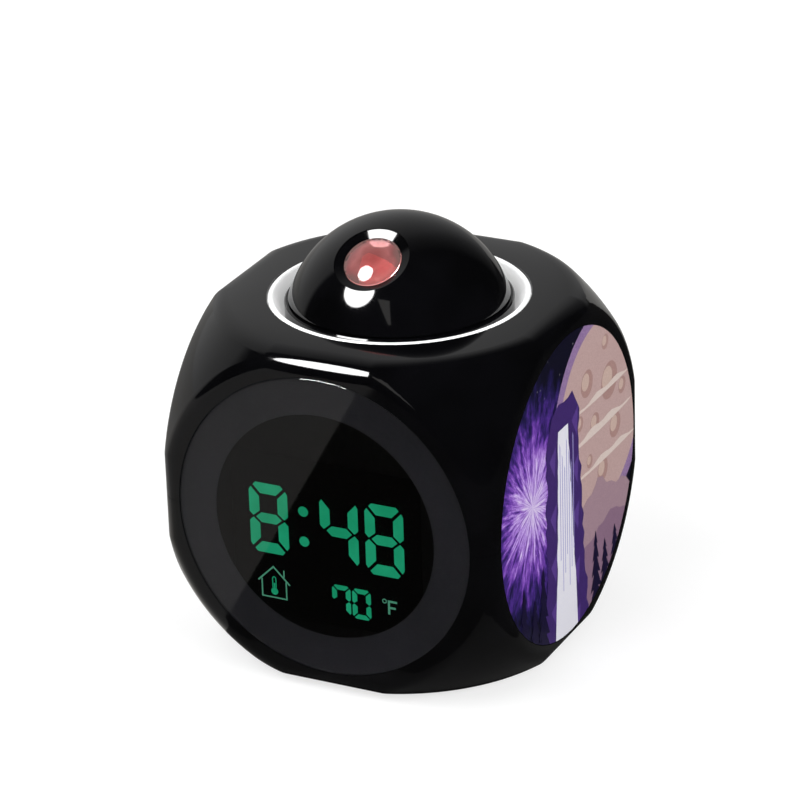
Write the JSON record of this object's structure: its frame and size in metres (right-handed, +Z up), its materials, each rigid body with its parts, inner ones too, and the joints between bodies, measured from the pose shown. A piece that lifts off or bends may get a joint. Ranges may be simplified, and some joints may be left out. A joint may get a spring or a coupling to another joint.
{
  "type": "projection alarm clock",
  "caption": "Cube-shaped bedside alarm clock with rounded corners, a round front display, printed side discs and a pressable, turning projector dome on top.",
  "frame": {"origin": "on the table, below the middle of the case", "axes": "+Z up; the display faces -Y; +X is on the right of someone who reads the display"},
  "size_m": [0.08, 0.08, 0.0968],
  "materials": {
    "black_abs": "glossy black moulded ABS",
    "inner_abs": "matt black moulded ABS",
    "smoked_acrylic": "smoked clear acrylic",
    "mask_ink": "dark grey printed film",
    "display": "black liquid crystal glass",
    "light_guide": "milky acrylic light guide",
    "zebra_rubber": "striped silicone connector",
    "circuit_board": "green solder mask on glass fibre",
    "black_epoxy": "black epoxy",
    "tinned_metal": "tinned metal",
    "white_nylon": "natural nylon",
    "printed_disc": "printed film under clear gloss",
    "white_abs": "glossy white ABS",
    "steel": "zinc plated steel",
    "spring_steel": "spring steel",
    "paper_cone": "black pressed paper",
    "magnet": "ferrite",
    "clear_acrylic": "clear acrylic",
    "red_led": "red tinted epoxy",
    "slide_glass": "liquid crystal slide",
    "cell_jacket": "plain printed steel can",
    "nickel": "nickel plated steel",
    "foot_rubber": "black rubber",
    "lead_pvc": "PVC insulated lead"
  },
  "bodies": {
    "case": {"upper_shell": "black_abs", "lower_shell": "black_abs", "front_lens": "smoked_acrylic", "display_mask": "mask_ink", "display_glass": "display", "light_guide": "light_guide", "zebra_strip": "zebra_rubber", "display_frame": "inner_abs", "main_board": "circuit_board", "processor": "black_epoxy", "capacitors": "black_epoxy", "crystal": "tinned_metal", "thermistor": "black_epoxy", "lead_sockets": "white_nylon", "right_disc": "printed_disc", "left_disc": "printed_disc", "back_panel": "inner_abs", "button_switches": "black_epoxy", "button_board": "circuit_board", "speaker_basket": "steel", "speaker_magnet": "magnet", "speaker_cone": "paper_cone", "light_ring": "white_abs", "deck": "inner_abs", "return_spring": "spring_steel", "press_switch": "black_epoxy", "cells": "cell_jacket", "cell_contacts": "nickel", "cell_springs": "nickel", "feet": "foot_rubber", "case_screws": "steel", "pillar_screws": "steel", "frame_screws": "steel", "board_screws": "steel", "button_board_screws": "steel", "cell_leads": "lead_pvc", "speaker_leads": "lead_pvc", "projector_lead": "lead_pvc"},
    "collar": {"press_collar": "black_abs"},
    "dome": {"dome": "black_abs", "dome_base": "inner_abs", "axle_clip": "spring_steel", "projection_lens": "clear_acrylic", "lens_bezel": "black_abs", "projector_barrel": "inner_abs", "image_slide": "slide_glass", "condenser": "clear_acrylic", "led_board": "circuit_board", "projector_led": "red_led", "dome_screws": "steel"},
    "battery_door": {"battery_door": "inner_abs"},
    "button_down": {"button_down": "inner_abs"},
    "button_up": {"button_up": "inner_abs"},
    "button_set": {"button_set": "inner_abs"},
    "button_mode": {"button_mode": "inner_abs"}
  },
  "joints": [
    {"name": "dome_press", "type": "slide", "parent": "case", "child": "collar", "axis": [0, 0, -1], "range_m": [0, 0.0015], "stiffness_N_per_m": 900, "springref_m": -0.0012, "deforming": ["return_spring"]},
    {"name": "dome_turn", "type": "hinge", "parent": "collar", "child": "dome", "pos_m": [0, 0, 0.0794], "axis": [0, 0, 1], "range_deg": [-90, 90]},
    {"name": "battery_door_hinge", "type": "hinge", "parent": "case", "child": "battery_door", "pos_m": [-0.0263, 0, 0.0008], "axis": [0, 1, 0], "range_deg": [0, 40]},
    {"name": "button_down_press", "type": "slide", "parent": "case", "child": "button_down", "axis": [0, -1, 0], "range_m": [0, 0.0008], "stiffness_N_per_m": 1200, "springref_m": -0.0005},
    {"name": "button_up_press", "type": "slide", "parent": "case", "child": "button_up", "axis": [0, -1, 0], "range_m": [0, 0.0008], "stiffness_N_per_m": 1200, "springref_m": -0.0005},
    {"name": "button_set_press", "type": "slide", "parent": "case", "child": "button_set", "axis": [0, -1, 0], "range_m": [0, 0.0008], "stiffness_N_per_m": 1200, "springref_m": -0.0005},
    {"name": "button_mode_press", "type": "slide", "parent": "case", "child": "button_mode", "axis": [0, -1, 0], "range_m": [0, 0.0008], "stiffness_N_per_m": 1200, "springref_m": -0.0005}
  ]
}
